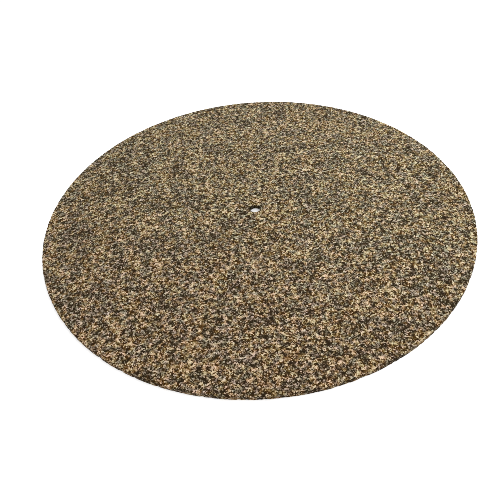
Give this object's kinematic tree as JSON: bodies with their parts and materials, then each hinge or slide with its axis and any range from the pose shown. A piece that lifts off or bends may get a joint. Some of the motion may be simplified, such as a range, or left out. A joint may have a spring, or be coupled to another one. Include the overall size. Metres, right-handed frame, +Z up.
{
  "type": "turntable platter mat",
  "caption": "Flat round mat of cork and rubber granulate with a centre hole for the spindle. It lies on a turntable's platter and carries the record.",
  "frame": {"origin": "on the spindle's axis, in the plane of the underside that rests on the platter", "axes": "+Z up along the spindle's axis, towards the record; X and Y lie in the mat and are free to choose, because the mat is round"},
  "size_m": [0.3, 0.3, 0.003],
  "materials": {
    "granulate": "matt, speckled tan cork and black rubber granules"
  },
  "bodies": {
    "root": {"platter_mat": "granulate"}
  },
  "joints": []
}
